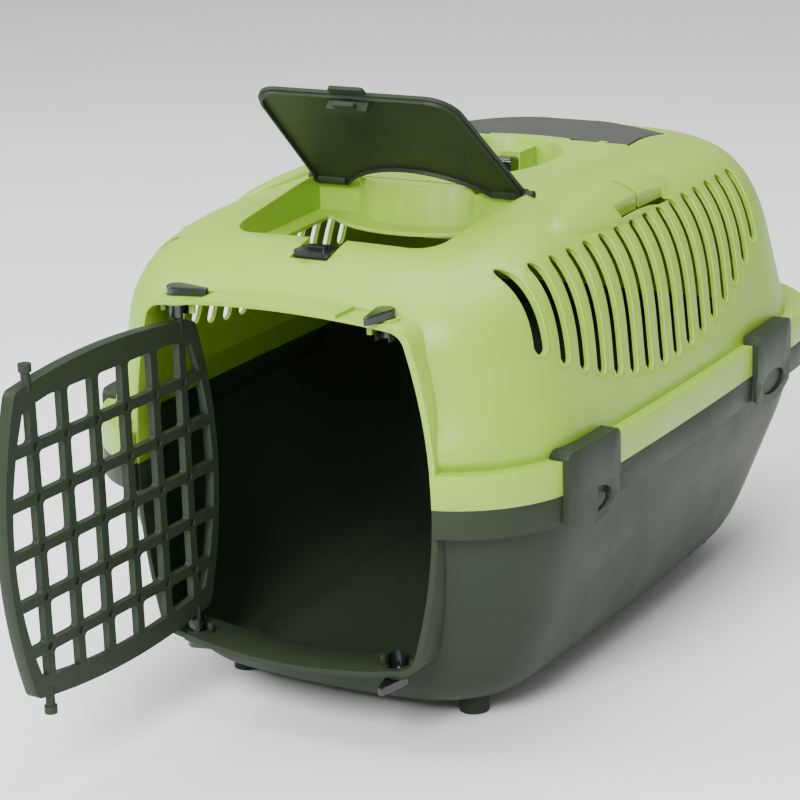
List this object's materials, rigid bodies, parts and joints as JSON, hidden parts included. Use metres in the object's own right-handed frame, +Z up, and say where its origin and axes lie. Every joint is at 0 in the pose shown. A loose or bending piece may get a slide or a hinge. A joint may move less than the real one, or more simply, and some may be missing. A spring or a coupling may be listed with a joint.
{
  "type": "pet carrier",
  "caption": "Plastic pet carrier of two clipped half shells with a grille door, a top hatch, a folding handle, side vents and a storage lid.",
  "frame": {"origin": "middle of the bottom of the box round the whole carrier in its rest pose, with the door open, on the floor plane", "axes": "+X to the carrier's right seen from behind its door, +Y from the door to the rear, +Z up"},
  "size_m": [0.3674, 0.7164, 0.4108],
  "materials": {
    "light_green": "satin moulded polypropylene, light green",
    "dark_green": "satin moulded polypropylene, dark green-grey",
    "black": "glossy near-black plastic",
    "lid_grey": "smooth dark warm grey plastic"
  },
  "bodies": {
    "carrier": {"top_shell": "light_green", "base_tray": "dark_green"},
    "door": {"door_grille": "dark_green"},
    "hatch": {"top_hatch": "dark_green"},
    "catch": {"hatch_catch": "black"},
    "handle": {"carry_handle": "black"},
    "storage": {"storage_lid": "lid_grey"},
    "latch_top_left": {"latch_top_left": "black"},
    "latch_top_right": {"latch_top_right": "black"},
    "latch_bottom_left": {"latch_bottom_left": "black"},
    "latch_bottom_right": {"latch_bottom_right": "black"},
    "clip_front_left": {"clip_front_left": "dark_green"},
    "clip_front_right": {"clip_front_right": "dark_green"},
    "clip_rear_left": {"clip_rear_left": "dark_green"},
    "clip_rear_right": {"clip_rear_right": "dark_green"}
  },
  "joints": [
    {"name": "door_swing", "type": "hinge", "parent": "carrier", "child": "door", "pos_m": [-0.077, -0.1737, 0.171], "axis": [0, 0, 1], "range_deg": [-15, 92]},
    {"name": "hatch_lift", "type": "hinge", "parent": "carrier", "child": "hatch", "pos_m": [0, 0.0093, 0.327], "axis": [-1, 0, 0], "range_deg": [-46.5, 48]},
    {"name": "catch_slide", "type": "slide", "parent": "carrier", "child": "catch", "axis": [0, 1, 0], "range_m": [0, 0.005]},
    {"name": "handle_fold", "type": "hinge", "parent": "carrier", "child": "handle", "pos_m": [0, 0.0983, 0.317], "axis": [0, 1, 0], "range_deg": [0, 90]},
    {"name": "storage_lift", "type": "hinge", "parent": "carrier", "child": "storage", "pos_m": [0, 0.173, 0.3275], "axis": [1, 0, 0], "range_deg": [0, 75]},
    {"name": "latch_top_left_turn", "type": "hinge", "parent": "carrier", "child": "latch_top_left", "pos_m": [-0.077, -0.1737, 0.288], "axis": [0, 0, 1], "range_deg": [-90, 0]},
    {"name": "latch_top_right_turn", "type": "hinge", "parent": "carrier", "child": "latch_top_right", "pos_m": [0.077, -0.1737, 0.288], "axis": [0, 0, 1], "range_deg": [-90, 0]},
    {"name": "latch_bottom_left_turn", "type": "hinge", "parent": "carrier", "child": "latch_bottom_left", "pos_m": [-0.077, -0.1737, 0.0515], "axis": [0, 0, 1], "range_deg": [-90, 0]},
    {"name": "latch_bottom_right_turn", "type": "hinge", "parent": "carrier", "child": "latch_bottom_right", "pos_m": [0.077, -0.1737, 0.0515], "axis": [0, 0, 1], "range_deg": [-90, 0]},
    {"name": "clip_front_left_rock", "type": "hinge", "parent": "carrier", "child": "clip_front_left", "pos_m": [-0.1735, -0.0937, 0.164], "axis": [0.0941, -0.9956, 0], "range_deg": [0, 20]},
    {"name": "clip_front_right_rock", "type": "hinge", "parent": "carrier", "child": "clip_front_right", "pos_m": [0.1735, -0.0937, 0.164], "axis": [0.0941, 0.9956, 0], "range_deg": [0, 20]},
    {"name": "clip_rear_left_rock", "type": "hinge", "parent": "carrier", "child": "clip_rear_left", "pos_m": [-0.1774, 0.1963, 0.164], "axis": [-0.0262, -0.9997, 0], "range_deg": [0, 20]},
    {"name": "clip_rear_right_rock", "type": "hinge", "parent": "carrier", "child": "clip_rear_right", "pos_m": [0.1774, 0.1963, 0.164], "axis": [-0.0262, 0.9997, 0], "range_deg": [0, 20]}
  ]
}
